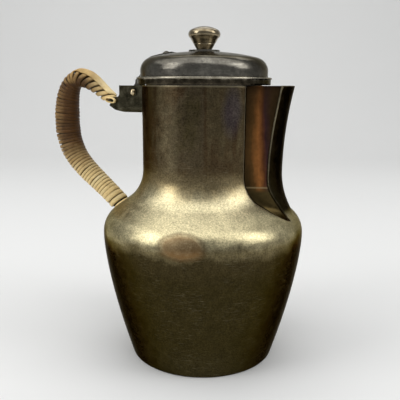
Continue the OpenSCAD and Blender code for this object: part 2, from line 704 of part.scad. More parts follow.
// Side view of the strap, with the hinge to the right
module strap_outline() {
    top_turn = acos((strap_end_x + 2) / (dome_crown + strap_t));
    back = arc(side_c, dome_corner + strap_t, dome_turn, 0, 8);
    crown_run = [for (a = along(top_turn, dome_turn, 8)) if (a > dome_turn)
        crown_c + (dome_crown + strap_t) * [cos(a), sin(a)]];
    polygon(concat(
        // the front end is filed down to a blunt edge
        [[strap_end_x, crown_at(strap_end_x) - strap_t], [strap_end_x, crown_at(strap_end_x, strap_t / 2)]],
        crown_run, back,
        // over the lid's rim, down the lug to the knuckle, and back under the rim
        [[lid_r - 0.4, ledge_z + 2.2], [lid_r + 0.8, ledge_z + 0.7], [lid_r + 2.2, ledge_z - 0.4],
         [lid_r + 3.5, seat_z + 2.6], [lid_r + 3.7, seat_z + 0.8], [lid_r + 4.4, seat_z - 0.4],
         [lid_r + 6.2, seat_z - 1.7]],
        arc([pin_x, pin_z], knuckle_r, 20, -215, 24),
        [[lid_r + 0.6, seat_z + 0.3], [lid_r - 1, seat_z + 1.6], [corner_x, ledge_z - 1]]
    ));
}

module hinge_strap() {
    color(lid_color) difference() {
        rotate([90, 0, 0]) linear_extrude(2 * strap_half, center = true) mirror([1, 0, 0])
            strap_outline();
        lid_solid();
        translate([-pin_x, 0, pin_z]) rotate([90, 0, 0])
            cylinder(r = pin_r + pin_gap, h = far, center = true);
        strap_hole();
    }
}

module strap_rivets() {
    dome = (pow(rivet_head_r, 2) + pow(rivet_head_h, 2)) / (2 * rivet_head_h);
    low = -dome_t - rivet_tail_t;
    color(lid_color) {
        on_crown(rivet_x, low) cylinder(r = rivet_r, h = strap_t - low + rivet_head_h / 2);
        on_crown(rivet_x, low) cylinder(r = rivet_r + 0.8, h = rivet_tail_t - 0.05);
        on_crown(rivet_x, strap_t) intersection() {
            translate([0, 0, rivet_head_h - dome]) sphere(r = dome);
            cylinder(r = rivet_head_r, h = rivet_head_h);
        }
    }
}

// ---- knob ----
knob_z = dome_top_z + knob_washer_t;
stud_depth = 0.55;     // share of the knob's height that the stud reaches
knob_edge = 3;         // radius of the cap's rounded edge
knob_crown = 17;       // radius of the cap's domed top
flare_h = knob_h / 2;  // height of the flared stem
groove_z = 3.6;        // height of the fine turned groove round the stem
groove_half = 0.3;     // half the width of that groove, which is as deep
function flare_at(z) = knob_stem + (knob_r - 1.3 - knob_stem) * pow(z / flare_h, 0.85);
module knob() {
    crown_foot = knob_h - knob_crown;
    edge_x = knob_r - knob_edge;
    crown_turn = acos(edge_x / (knob_crown - knob_edge));
    edge_z = crown_foot + (knob_crown - knob_edge) * sin(crown_turn);
    color(lid_color) translate([0, 0, knob_z]) difference() {
        rotate_extrude() polygon(concat(
            [[0, 0]],
            [for (z = along(0, groove_z - groove_half, 4)) [flare_at(z), z]],
            [[flare_at(groove_z) - groove_half, groove_z]],
            [for (z = along(groove_z + groove_half, flare_h, 4)) [flare_at(z), z]],
            arc([edge_x, edge_z], knob_edge, -35, crown_turn, 7),
            arc([0, crown_foot], knob_crown, crown_turn, 90, 7)
        ));
        translate([0, 0, -1]) cylinder(r = stud_r, h = knob_h * stud_depth + 1);
    }
}

module knob_washer() {
    color(lid_color) difference() {
        translate([0, 0, dome_top_z - 1]) cylinder(r = knob_washer_r, h = 1 + knob_washer_t);
        lid_solid();
        stud_hole();
    }
}

nut_seat_z = crown_at(0, -dome_t) - 0.25;
module nut_washer() {
    color(lid_color) translate([0, 0, nut_seat_z - knob_washer_t]) difference() {
        cylinder(r = nut_r + 1.6, h = knob_washer_t);
        translate([0, 0, -1]) cylinder(r = stud_r, h = knob_washer_t + 2);
    }
}

module knob_nut() {
    color(lid_color) translate([0, 0, nut_seat_z - knob_washer_t - nut_h]) difference() {
        cylinder(r = nut_r, h = nut_h, $fn = 6);
        translate([0, 0, -1]) cylinder(r = stud_r, h = nut_h + 2);
    }
}

module knob_stud() {
    low = nut_seat_z - knob_washer_t - nut_h - 1;
    color(lid_color) translate([0, 0, low]) cylinder(r = stud_r, h = knob_z + knob_h * stud_depth - low);
}

body_shell();
bottom_plate();
spout_front();
spout_cheek_left();
spout_cheek_right();
hinge_bracket();
bracket_foot();
hinge_pin();
hinge_washers();
handle_core();
handle_foot();
cane_wrap();
cane_splint();
lid_dome();
lid_rim();
lid_bezel();
hinge_strap();
strap_rivets();
knob();
knob_washer();
knob_stud();
nut_washer();
knob_nut();
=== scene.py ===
import bpy, bmesh, math, random
from mathutils import Vector, Matrix


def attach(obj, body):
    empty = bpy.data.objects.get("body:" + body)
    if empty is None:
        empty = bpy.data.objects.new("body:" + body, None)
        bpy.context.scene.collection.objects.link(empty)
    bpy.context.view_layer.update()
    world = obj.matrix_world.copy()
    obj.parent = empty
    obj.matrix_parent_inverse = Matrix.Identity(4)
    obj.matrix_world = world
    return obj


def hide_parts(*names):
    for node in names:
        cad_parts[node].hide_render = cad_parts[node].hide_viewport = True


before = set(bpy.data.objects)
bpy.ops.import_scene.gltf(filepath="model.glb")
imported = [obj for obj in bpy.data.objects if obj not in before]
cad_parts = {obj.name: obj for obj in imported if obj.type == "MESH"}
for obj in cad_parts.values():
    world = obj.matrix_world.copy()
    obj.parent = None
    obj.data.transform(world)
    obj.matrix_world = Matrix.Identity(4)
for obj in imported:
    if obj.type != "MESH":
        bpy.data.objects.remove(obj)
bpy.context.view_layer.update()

MM = 0.001
sin, cos, pi = math.sin, math.cos, math.pi
rad, deg = math.radians, math.degrees

# ---------------------------------------------------------------- sizes, in mm, as in the part's source
# body, from the foot up to the rim
body_r, belly_z, belly_band, base_r, belly_power, base_edge = 61.8, 76.5, 2.6, 44.8, 1.46, 1
wall, shoulder_bend, neck_r, neck_bend, neck_z, rim_z = 1.0, 15.2, 37.1, 22.7, 116.5, 166.8
# slit in the neck, spout front and side plates
slit_x, slit_end, slit_fall, slit_corner = 31.5, (57.2, 89.6), 31.4, 20.0
waist_x, waist_z, lip_x, lip_half, lip_flare, flare_l = 48.6, 117.0, 54.2, 14.4, 1.0, 18.0
fold_half, fold_z, root_half, root_drop = 15.6, 113.0, 6.2, 2
cheek_t, cheek_recess, spout_axis = 0.9, 0.9, 14.0
# lid and knob
seat_z, ledge_z, dome_top = 167.2, 171.8, 186.6
dome_r, dome_corner, dome_crown, dome_t = 38.0, 8.0, 140.0, 0.9
knob_washer_t, knob_h, knob_r, knob_stem = 0.7, 13.7, 9.5, 4.0
# reach of the bracket, and the handle's centre line and radii
bracket_l, bracket_h, tail_l, tail_up = 17, 16.7, 7.2, 6.4
crown, grip, landing_z, landing_foot = (-85.5, 170.8), (-97.0, 143.0), 89.5, 0.5
tip_lean, landing_lean = rad(31), rad(44)
tip_r, crown_r, grip_r, landing_r = 3.9, 5.7, 8.1, 6.3


def ease(t):
    """A smooth step from 0 to 1."""
    t = min(1, max(0, t))
    return (1 - cos(pi * t)) / 2


def arc(c, r, a, b, n):
    """Points of an arc round c, from a to b degrees in n steps."""
    angles = [rad(a + (b - a) * i / n) for i in range(n + 1)]
    return [(c[0] + r * cos(t), c[1] + r * sin(t)) for t in angles]


def belly_x(z):
    return body_r - (body_r - base_r) * max(0, (belly_z - z) / belly_z) ** belly_power


shoulder_c = (body_r - shoulder_bend, belly_z + belly_band)
neck_c = (neck_r + neck_bend, neck_z)
step = (neck_c[0] - shoulder_c[0], neck_c[1] - shoulder_c[1])
bend_turn = deg(math.atan2(step[1], step[0]) - math.acos((shoulder_bend + neck_bend) / math.hypot(*step)))


def outer_at(z):
    """Radius of the body's outside at height z."""
    turn = rad(bend_turn)
    if z <= belly_z:
        return belly_x(z)
    if z <= shoulder_c[1]:
        return body_r
    if z <= shoulder_c[1] + shoulder_bend * sin(turn):
        return shoulder_c[0] + math.sqrt(shoulder_bend ** 2 - (z - shoulder_c[1]) ** 2)
    if z >= neck_z:
        return neck_r
    if z >= neck_z - neck_bend * sin(turn):
        return neck_c[0] - math.sqrt(neck_bend ** 2 - (neck_z - z) ** 2)
    low = (shoulder_c[0] + shoulder_bend * cos(turn), shoulder_c[1] + shoulder_bend * sin(turn))
    return low[0] - (z - low[1]) * math.tan(turn)


corner_x = slit_x + slit_corner
slit_normal = (sin(rad(slit_fall)), cos(rad(slit_fall)))
corner_z = slit_end[1] + (slit_corner - (corner_x - slit_end[0]) * slit_normal[0]) / slit_normal[1]


def slit_at(z):
    """Where the slit lies along X at height z: upright, round its corner, then falling to its end."""
    if z >= corner_z:
        return slit_x
    if z >= corner_z - slit_corner * cos(rad(slit_fall)):
        return corner_x - math.sqrt(max(0, slit_corner ** 2 - (z - corner_z) ** 2))
    return slit_end[0] - (z - slit_end[1]) / math.tan(rad(slit_fall))


waist_lean, waist_rise = waist_x - shoulder_c[0], waist_z - shoulder_c[1]
root_bend = (waist_lean ** 2 + waist_rise ** 2 - shoulder_bend ** 2) / (2 * (shoulder_bend - waist_lean))
root_c = (waist_x + root_bend, waist_z)
root_turn = math.atan2(root_c[1] - shoulder_c[1], root_c[0] - shoulder_c[0])
root_z = shoulder_c[1] + shoulder_bend * sin(root_turn) - root_drop
lip_bend = ((lip_x - waist_x) ** 2 + (rim_z - waist_z) ** 2) / (2 * (lip_x - waist_x))
lip_c = (waist_x + lip_bend, waist_z)


def front_at(z, depth=0):
    """Where the middle of the spout front lies along X at height z, this deep in the sheet."""
    if z >= waist_z:
        return lip_c[0] - math.sqrt((lip_bend + depth) ** 2 - (z - waist_z) ** 2)
    if z >= root_z + root_drop:
        return root_c[0] - math.sqrt((root_bend + depth) ** 2 - (z - waist_z) ** 2)
    return shoulder_c[0] + math.sqrt(max(0, (shoulder_bend - depth) ** 2 - (z - shoulder_c[1]) ** 2))


def half_at(z):
    """Half the width of the spout front at height z."""
    if z < fold_z:
        return root_half + (fold_half - root_half) * ease((z - root_z) / (fold_z - root_z))
    flare = lip_flare * max(0, 1 - (rim_z - z) / flare_l) ** 2
    return fold_half + (lip_half - fold_half) * ease((z - fold_z) / (rim_z - fold_z)) + flare


def strip_at(z, v, depth=0):
    """The same as front_at, at v to one side of the middle."""
    return spout_axis + math.sqrt((front_at(z, depth) - spout_axis) ** 2 - v * v)


# ---------------------------------------------------------------- mesh helpers
def make(name, verts, faces, body, material, nodes=(), slot=None, sharp=32, recalc=True):
    """Add a mesh given in mm, that rides a body and may replace nodes of the frame."""
    mesh = bpy.data.meshes.new(name)
    mesh.from_pydata([Vector(v) * MM for v in verts], [], faces)
    bm = bmesh.new()
    bm.from_mesh(mesh)
    if recalc:
        bmesh.ops.recalc_face_normals(bm, faces=bm.faces)
    bm.to_mesh(mesh)
    bm.free()
    mesh.polygons.foreach_set("use_smooth", [True] * len(mesh.polygons))
    mesh.set_sharp_from_angle(angle=rad(sharp))
    obj = bpy.data.objects.new(name, mesh)
    bpy.context.scene.collection.objects.link(obj)
    mesh.materials.append(material)
    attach(obj, body)
    if nodes:
        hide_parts(*nodes)
    return obj


def lathe(name, profile, body, material, segs=160, closed=True, **kw):
    """Spin a profile of (radius, height) round the pot's axis."""
    n = len(profile)
    verts = [(r * cos(2 * pi * k / segs), r * sin(2 * pi * k / segs), z)
             for k in range(segs) for r, z in profile]
    faces = []
    for k in range(segs):
        m = (k + 1) % segs
        for i in range(n if closed else n - 1):
            j = (i + 1) % n
            faces.append((k * n + i, m * n + i, m * n + j, k * n + j))
    obj = make(name, verts, faces, body, material, **kw)
    bm = bmesh.new()
    bm.from_mesh(obj.data)
    bmesh.ops.remove_doubles(bm, verts=bm.verts, dist=1e-6)
    bm.to_mesh(obj.data)
    bm.free()
    return obj


def tube(rows, n):
    """Faces between rows of n points each, every row closed on itself."""
    faces = []
    for i in range(rows - 1):
        for k in range(n):
            m = (k + 1) % n
            faces.append((i * n + k, i * n + m, (i + 1) * n + m, (i + 1) * n + k))
    return faces


def capped_tube(rows, n):
    return tube(rows, n) + [tuple(range(n))[::-1], tuple((rows - 1) * n + k for k in range(n))]


def stitch(lower, upper):
    """Faces between two open rows, given as point numbers."""
    return [(lower[k], lower[k + 1], upper[k + 1], upper[k]) for k in range(len(upper) - 1)]


def add_mod(obj, kind, **values):
    mod = obj.modifiers.new(kind.lower(), kind)
    for key, value in values.items():
        setattr(mod, key, value)


def mark_points(obj, name, kind, values):
    """Give each point a value that a material can read."""
    layer = obj.data.attributes.new(name, kind, "POINT")
    layer.data.foreach_set("value" if kind == "FLOAT" else "vector", values)


FAINT_EDGE = 0.66        # painted highlight and wear of the spout front's border, next to 1 for the rest


def mark_edges(obj, faint=()):
    """Mark the open border of a sheet, so that the material can paint a highlight on it, partly worn bright
    metal.
    """
    count = {}
    for poly in obj.data.polygons:
        for key in poly.edge_keys:
            count[key] = count.get(key, 0) + 1
    wear_and_sheen = [0.0] * len(obj.data.vertices)
    for v in {v for key, n in count.items() if n == 1 for v in key}:
        wear_and_sheen[v] = FAINT_EDGE if v in faint else 1.0
    mark_points(obj, "edge", "FLOAT", wear_and_sheen)


# ---------------------------------------------------------------- material helpers
class Nodes:
    """A new material, with short ways to add and join its nodes."""

    def __init__(self, name):
        self.mat = bpy.data.materials.new(name)
        self.mat.use_nodes = True
        self.tree = self.mat.node_tree
        self.shader = self.tree.nodes["Principled BSDF"]
        self.coord = self.tree.nodes.new("ShaderNodeTexCoord").outputs["Object"]

    def link(self, source, socket):
        self.tree.links.new(source, socket)

    def put(self, socket, value):
        """Link a socket, or set a plain value."""
        if isinstance(value, bpy.types.NodeSocket):
            self.link(value, socket)
        else:
            if isinstance(value, tuple) and len(value) == 3 and len(socket.default_value) == 4:
                value = (*value, 1)
            socket.default_value = value

    def add(self, kind, out=0, props=None, **inputs):
        """Add a node; its inputs go by name, with _ for a space, or by number, as i0."""
        node = self.tree.nodes.new(kind)
        for key, value in (props or {}).items():
            setattr(node, key, value)
        for key, value in inputs.items():
            by_number = key[0] == "i" and key[1:].isdigit()
            self.put(node.inputs[int(key[1:]) if by_number else key.replace("_", " ")], value)
        return node.outputs[out]

    def split(self, vector=None):
        node = self.tree.nodes.new("ShaderNodeSeparateXYZ")
        self.link(vector or self.coord, node.inputs[0])
        return node.outputs

    def mark(self, name, out="Fac"):
        """A value that mark_points gave the mesh."""
        return self.add("ShaderNodeAttribute", out=out, props={"attribute_name": name})

    def scaled(self, x, y, z):
        return self.add("ShaderNodeMapping", Vector=self.coord, Scale=(x, y, z))

    def away_from(self, x, y, z, squash):
        """Distance from a point, in metres, with heights multiplied by squash."""
        moved = self.add("ShaderNodeMapping", Vector=self.coord, Location=(-x, -y, -z * squash),
                         Scale=(1.0, 1.0, squash))
        return self.add("ShaderNodeVectorMath", out=1, props={"operation": "LENGTH"}, i0=moved)

    def noise(self, scale=1.0, detail=4.0, rough=0.55, distort=0.0, vector=None):
        return self.add("ShaderNodeTexNoise", Vector=vector or self.coord, Scale=scale, Detail=detail,
                        Roughness=rough, Distortion=distort)

    def ramp(self, value, stops):
        node = self.tree.nodes.new("ShaderNodeValToRGB")
        items = node.color_ramp.elements
        while len(items) < len(stops):
            items.new(0.5)
        for item, (pos, colour) in zip(items, stops):
            item.position = pos
            item.color = (*colour, 1) if isinstance(colour, tuple) else (colour, colour, colour, 1)
        self.link(value, node.inputs[0])
        return node.outputs[0]

    def mix(self, factor, a, b, blend="MIX"):
        node = self.tree.nodes.new("ShaderNodeMix")
        node.data_type = "RGBA"
        node.blend_type = blend
        self.put(node.inputs[0], factor)
        self.put(node.inputs[6], a)
        self.put(node.inputs[7], b)
        return node.outputs[2]

    def math(self, op, a, b=0.0, clamp=False):
        node = self.tree.nodes.new("ShaderNodeMath")
        node.operation = op
        node.use_clamp = clamp
        self.put(node.inputs[0], a)
        self.put(node.inputs[1], b)
        return node.outputs[0]

    def times(self, a, b, clamp=False):
        return self.math("MULTIPLY", a, b, clamp)

    def plus(self, a, b):
        return self.math("ADD", a, b)

    def sway(self, noise, amount):
        """A noise of 0 to 1 as a shift to both sides, this far from end to end."""
        return self.times(self.math("SUBTRACT", noise, 0.5), amount)

    def span(self, value, low, high, to_low=0.0, to_high=1.0):
        """Map low..high to to_low..to_high and hold it there beyond both ends."""
        return self.add("ShaderNodeMapRange", Value=value, From_Min=low, From_Max=high,
                        To_Min=to_low, To_Max=to_high)

    def bump(self, height, strength, distance, normal=None):
        node = self.tree.nodes.new("ShaderNodeBump")
        node.inputs["Strength"].default_value = strength
        node.inputs["Distance"].default_value = distance
        self.link(height, node.inputs["Height"])
        if normal is not None:
            self.link(normal, node.inputs["Normal"])
        return node.outputs[0]

    def finish(self, colour, rough, normal=None, metallic=1.0, **extra):
        self.put(self.shader.inputs["Base Color"], colour)
        self.put(self.shader.inputs["Roughness"], rough)
        self.shader.inputs["Metallic"].default_value = metallic
        for key, value in extra.items():
            self.shader.inputs[key.replace("_", " ")].default_value = value
        if normal is not None:
            self.link(normal, self.shader.inputs["Normal"])
        return self.mat


def scratches(m, scale=1.0):
    """Fine short lines in several directions, 0 to 1."""
    total = None
    # turn and lean of each direction, and how long its lines are
    ways = ((0.15, 0.9, 15), (1.25, -0.7, 12), (2.30, 0.3, 14), (0.70, 1.5, 16))
    for k, (turn, lean, stretch) in enumerate(ways):
        fine = 170 * scale
        v = m.add("ShaderNodeMapping", Vector=m.coord, Rotation=(lean, turn * 0.8, turn),
                  Location=(0.31 * k, 0.17 * k, 0.07 * k), Scale=(fine, fine, fine * stretch))
        hairs = m.noise(scale=1.0, detail=2, rough=0.5, distort=0.35, vector=v)
        line = m.ramp(hairs, [(0.64, 0.0), (0.74, 1.0)])
        total = line if total is None else m.math("MAXIMUM", total, line)
    return total


def edge_sheen_and_wear(m, colour):
    """Lighten the border of a sheet, where mark_edges gave a value near 1: a painted highlight, partly worn
    bright metal.
    """
    edge = m.mark("edge")
    grain = m.noise(scale=320, detail=4, rough=0.6)
    wear_and_sheen = m.span(m.plus(edge, m.sway(grain, 0.3)), 0.52, 0.97, 0.0, 0.80)
    return m.mix(wear_and_sheen, colour, (0.50, 0.43, 0.28))


def body_material():
    """Places and heights are in metres, as the coordinates are."""
    m = Nodes("plate_body")
    x, y, z = m.split()
    # height bands, moved about by a slow noise so that no band has a hard edge; the light band round the
    # shoulder is partly worn metal and partly a painted highlight of the lamp above
    drift = m.noise(scale=42, detail=6, rough=0.62)
    zz = m.plus(z, m.sway(drift, 0.016))
    t = m.span(zz, 0.0, 0.170)
    bands = m.ramp(t, [
        (0.00, (0.062, 0.050, 0.022)), (0.14, (0.044, 0.034, 0.012)), (0.36, (0.038, 0.029, 0.010)),
        (0.435, (0.050, 0.038, 0.016)), (0.470, (0.175, 0.142, 0.072)), (0.500, (0.56, 0.49, 0.29)),
        (0.600, (0.64, 0.565, 0.35)), (0.650, (0.36, 0.285, 0.150)), (0.705, (0.088, 0.062, 0.030)),
        (1.00, (0.058, 0.037, 0.018))])
    # upright streaks on the neck: painted reflections of the room, partly heat tint
    streak_reflection = m.noise(scale=1.0, detail=5, rough=0.62, distort=0.4, vector=m.scaled(46, 46, 11))
    tint_and_reflection = m.ramp(streak_reflection, [
        (0.28, (0.042, 0.033, 0.016)), (0.42, (0.118, 0.093, 0.050)), (0.51, (0.064, 0.040, 0.020)),
        (0.59, (0.098, 0.077, 0.046)), (0.68, (0.058, 0.049, 0.022)), (0.78, (0.046, 0.029, 0.026))])
    neck = m.span(zz, 0.110, 0.126)
    colour = m.mix(m.times(neck, 0.70, clamp=True), bands, tint_and_reflection)
    # an upright band on the neck: a painted reflection of the lamp at the left, lighter in patches
    off_middle = m.math("ABSOLUTE", m.plus(m.plus(x, 0.0086), m.sway(drift, 0.016)))
    band = m.times(m.span(off_middle, 0.0078, 0.0018), m.span(y, -0.020, -0.030))
    band = m.times(band, m.times(m.span(z, 0.112, 0.120), m.span(z, 0.163, 0.142, 0.25, 1.0)))
    wear_and_sheen = m.span(m.noise(scale=95, detail=6, rough=0.66), 0.36, 0.62, 0.25, 1.0)
    colour = m.mix(m.times(m.times(band, wear_and_sheen), 0.75), colour, (0.215, 0.178, 0.102))
    # blue and violet heat tint high on the neck, beside the spout
    blue = m.plus(m.away_from(0.0262, -0.0262, 0.1530, 0.42), m.sway(drift, 0.006))
    colour = m.mix(m.span(blue, 0.0075, 0.0035, 0.0, 0.42), colour, (0.036, 0.034, 0.070))
    # mottled tarnish, coarse and fine
    mott = m.noise(scale=170, detail=8, rough=0.70)
    colour = m.mix(0.55, colour, m.ramp(mott, [(0.32, 0.50), (0.54, 0.95), (0.72, 1.35)]), "MULTIPLY")
    fine = m.noise(scale=1150, detail=5, rough=0.7)
    colour = m.mix(0.75, colour, m.ramp(fine, [(0.36, 0.50), (0.62, 1.40)]), "MULTIPLY")
    # a patch on the belly where the plating is worn to the copper
    patch = m.plus(m.away_from(0.0095, -0.0604, 0.0830, 1.8), m.sway(drift, 0.007))
    colour = m.mix(m.span(patch, 0.0132, 0.0096, 0.0, 0.66), colour, (0.235, 0.122, 0.046))
    rim = m.times(m.span(patch, 0.0105, 0.0125), m.span(patch, 0.0150, 0.0130))
    colour = m.mix(m.times(rim, 0.5), colour, (0.085, 0.048, 0.018))
    # fine scratches, many on the shoulder and few below
    scr = scratches(m)
    wear = m.ramp(m.noise(scale=60, detail=4, rough=0.6), [(0.42, 0.10), (0.62, 1.0)])
    lines = m.times(scr, wear)
    shoulder = m.times(m.span(zz, 0.072, 0.092, 0.10, 0.34), m.span(zz, 0.128, 0.112, 0.25, 1.0))
    colour = m.mix(m.times(lines, shoulder), colour, (0.70, 0.62, 0.42))
    # the spout's front is painted near black: painted shade for the dark that it reflects
    front = m.mark("front")
    black = m.ramp(mott, [(0.35, (0.006, 0.005, 0.003)), (0.66, (0.016, 0.013, 0.008))])
    colour = m.mix(m.times(front, 0.94), colour, black)
    # painted highlight along the sheet's open border, partly worn bright metal
    colour = edge_sheen_and_wear(m, colour)
    rough = m.span(m.plus(mott, m.times(lines, 0.25)), 0.25, 0.95, 0.25, 0.50)
    n1 = m.bump(m.noise(scale=24, detail=2, rough=0.4), 0.25, 0.0016)
    n2 = m.bump(mott, 0.20, 0.00025, n1)
    n3 = m.bump(fine, 0.40, 0.00013, n2)
    return m.finish(colour, rough, m.bump(lines, 0.16, 0.00012, n3), Specular_Tint=(0.30, 0.27, 0.20, 1))


def lid_material():
    m = Nodes("plate_lid")
    mott = m.noise(scale=240, detail=8, rough=0.7)
    broad = m.noise(scale=45, detail=4, rough=0.6)
    colour = m.ramp(broad, [
        (0.30, (0.085, 0.078, 0.064)), (0.50, (0.160, 0.149, 0.126)), (0.70, (0.250, 0.235, 0.200))])
    colour = m.mix(0.60, colour, m.ramp(mott, [(0.32, 0.50), (0.52, 0.95), (0.70, 1.35)]), "MULTIPLY")
    fine = m.noise(scale=1250, detail=5, rough=0.7)
    colour = m.mix(0.50, colour, m.ramp(fine, [(0.36, 0.60), (0.62, 1.35)]), "MULTIPLY")
    pits = m.ramp(m.noise(scale=620, detail=4, rough=0.62), [(0.60, 1.0), (0.68, 0.28)])
    colour = m.mix(0.6, colour, pits, "MULTIPLY")
    scr = scratches(m, 1.4)
    colour = m.mix(m.times(scr, 0.14), colour, (0.50, 0.48, 0.42))
    rough = m.span(mott, 0.25, 0.80, 0.13, 0.30)
    n1 = m.bump(m.noise(scale=34, detail=2, rough=0.4), 0.22, 0.0012)
    n2 = m.bump(pits, 0.30, 0.00010, n1)
    return m.finish(colour, rough, m.bump(fine, 0.22, 0.00010, n2), Specular_Tint=(0.45, 0.43, 0.38, 1))


def knob_material(name="plate_knob", light=1.0):
    """Also the look of the hinge pin, with its colours multiplied by light; the pin's lighter copy is a painted
    highlight.
    """
    m = Nodes(name)
    mott = m.noise(scale=260, detail=6, rough=0.6)
    colour = m.ramp(mott, [(p, tuple(v * light for v in c)) for p, c in (
        (0.30, (0.150, 0.116, 0.068)), (0.52, (0.270, 0.220, 0.140)), (0.70, (0.360, 0.305, 0.210)))])
    colour = m.mix(m.times(scratches(m, 1.6), 0.18), colour, (0.62, 0.56, 0.42))
    rough = m.span(mott, 0.25, 0.80, 0.13, 0.27)
    return m.finish(colour, rough, m.bump(mott, 0.10, 0.0002))


def rim_material():
    """Dark below as painted shade, and bright on the ledge that stands out furthest as a painted highlight."""
    m = Nodes("plate_rim")
    z = m.split()[2]
    mott = m.noise(scale=260, detail=3, rough=0.5)
    zz = m.plus(z, m.sway(mott, 0.0010))
    # painted shade on the band below, painted highlight on the ledge above
    dark = m.ramp(mott, [(0.32, (0.020, 0.016, 0.010)), (0.66, (0.075, 0.062, 0.042))])
    light = m.ramp(mott, [(0.30, (0.24, 0.215, 0.165)), (0.66, (0.44, 0.405, 0.325))])
    colour = m.mix(m.span(zz, 0.1699, 0.1705), dark, light)
    rough = m.span(mott, 0.25, 0.8, 0.16, 0.34)
    return m.finish(colour, rough, m.bump(mott, 0.12, 0.0002), Specular_Tint=(0.5, 0.48, 0.42, 1))


def cheek_material():
    m = Nodes("plate_cheek")
    x, _, z = m.split()
    drift = m.noise(scale=1.0, detail=4, rough=0.6, vector=m.scaled(60, 60, 22))
    # copper, orange and purple upright streaks, partly heat tint and partly painted reflection, with painted
    # shade below the fold
    across = m.plus(m.span(x, 0.0317, 0.0500), m.sway(drift, 0.7))
    tint_and_reflection = m.ramp(across, [
        (0.00, (0.040, 0.024, 0.009)), (0.20, (0.095, 0.048, 0.016)), (0.36, (0.300, 0.118, 0.034)),
        (0.50, (0.110, 0.042, 0.017)), (0.62, (0.046, 0.022, 0.024)), (0.80, (0.044, 0.026, 0.011)),
        (1.00, (0.014, 0.011, 0.005))])
    # painted shade below the fold
    low = m.span(z, 0.1115, 0.1070)
    colour = m.mix(low, tint_and_reflection, (0.052, 0.037, 0.014))
    top = m.span(z, 0.148, 0.166)
    colour = m.mix(m.times(top, 0.75), colour, (0.030, 0.017, 0.008))
    # a painted highlight along the crease where the plate turns in to the shoulder
    crease_highlight = m.times(m.span(z, 0.1094, 0.1098), m.span(z, 0.1106, 0.1101))
    colour = m.mix(m.times(crease_highlight, 0.55), colour, (0.34, 0.26, 0.14))
    mott = m.noise(scale=300, detail=7, rough=0.65)
    colour = m.mix(0.5, colour, m.ramp(mott, [(0.32, 0.60), (0.62, 1.25)]), "MULTIPLY")
    rough = m.span(mott, 0.25, 0.8, 0.26, 0.46)
    return m.finish(colour, rough, m.bump(mott, 0.14, 0.0002), Specular_Tint=(0.30, 0.26, 0.20, 1))


def bracket_material():
    m = Nodes("hinge_dark")
    mott = m.noise(scale=260, detail=7, rough=0.65)
    colour = m.ramp(mott, [
        (0.30, (0.020, 0.018, 0.010)), (0.52, (0.046, 0.041, 0.025)), (0.72, (0.105, 0.096, 0.066))])
    colour = m.mix(m.times(scratches(m, 1.6), 0.14), colour, (0.36, 0.33, 0.24))
    rough = m.span(mott, 0.25, 0.8, 0.22, 0.42)
    return m.finish(colour, rough, m.bump(mott, 0.18, 0.0002), Specular_Tint=(0.40, 0.38, 0.32, 1))


def cane_material(name="cane_strand", light=1.0):
    """Read off the strand mark: length along it, place across it, and how much painted shade its groove gets.
    """
    m = Nodes(name)
    along, across, groove = m.split(m.mark("strand", "Vector"))
    grain_v = m.tree.nodes.new("ShaderNodeCombineXYZ")
    m.link(m.times(along, 2.2), grain_v.inputs[0])
    m.link(m.times(across, 7.0), grain_v.inputs[1])
    fibre = m.noise(scale=1.0, detail=5, rough=0.65, vector=grain_v.outputs[0])
    tone_v = m.tree.nodes.new("ShaderNodeCombineXYZ")
    m.link(m.times(along, 0.21), tone_v.inputs[0])
    tone = m.noise(scale=1.0, detail=4, rough=0.75, vector=tone_v.outputs[0])
    colour = m.ramp(tone, [
        (0.28, (0.66 * light, 0.42 * light, 0.150 * light)), (0.42, (0.82 * light, 0.60 * light, 0.27 * light)),
        (0.55, (0.84 * light, 0.66 * light, 0.33 * light)), (0.70, (0.89 * light, 0.76 * light, 0.47 * light))])
    colour = m.mix(0.50, colour, m.ramp(fibre, [(0.30, 0.62), (0.60, 1.15)]), "MULTIPLY")
    # painted shade on the grip: it is darker, most on its inner side
    x, _, z = m.split()
    drift = m.sway(m.noise(scale=90, detail=5, rough=0.65), 0.020)
    zz = m.plus(z, drift)
    grip_band = m.times(m.span(zz, 0.110, 0.130), m.span(zz, 0.177, 0.168))
    inner = m.span(m.plus(x, drift), -0.108, -0.094, 0.45, 1.0)
    dark = m.times(m.times(grip_band, inner), m.span(x, -0.066, -0.080))
    grip_shade = m.ramp(tone, [(0.36, (0.036, 0.013, 0.002)), (0.66, (0.150, 0.066, 0.015))])
    colour = m.mix(m.times(dark, 0.95), colour, grip_shade)
    honey = m.times(m.span(x, -0.062, -0.086), m.span(zz, 0.104, 0.134))
    colour = m.mix(m.times(honey, 0.80), colour, m.mix(1.0, colour, (0.52, 0.38, 0.20), "MULTIPLY"))
    stain = m.noise(scale=150, detail=5, rough=0.6)
    colour = m.mix(m.span(stain, 0.58, 0.72, 0.0, 0.40), colour, (0.24, 0.125, 0.046))
    # painted shade in the grooves between the turns and on the strands' backs
    colour = m.mix(m.times(groove, 0.92), colour, (0.075, 0.036, 0.012))
    rough = m.span(fibre, 0.3, 0.7, 0.42, 0.62)
    return m.finish(colour, rough, m.bump(fibre, 0.34, 0.00025), metallic=0.0,
                    Coat_Weight=0.05, Coat_Roughness=0.35, Specular_IOR_Level=0.18)


mat_body, mat_lid, mat_cheek = body_material(), lid_material(), cheek_material()
mat_bracket, mat_knob, mat_cane = bracket_material(), knob_material(), cane_material()
# the pin's look is the knob's made lighter: a painted highlight on the pin
mat_pin, mat_rim = knob_material("plate_pin", 1.8), rim_material()
mat_splint = cane_material("cane_pale", 1.06)

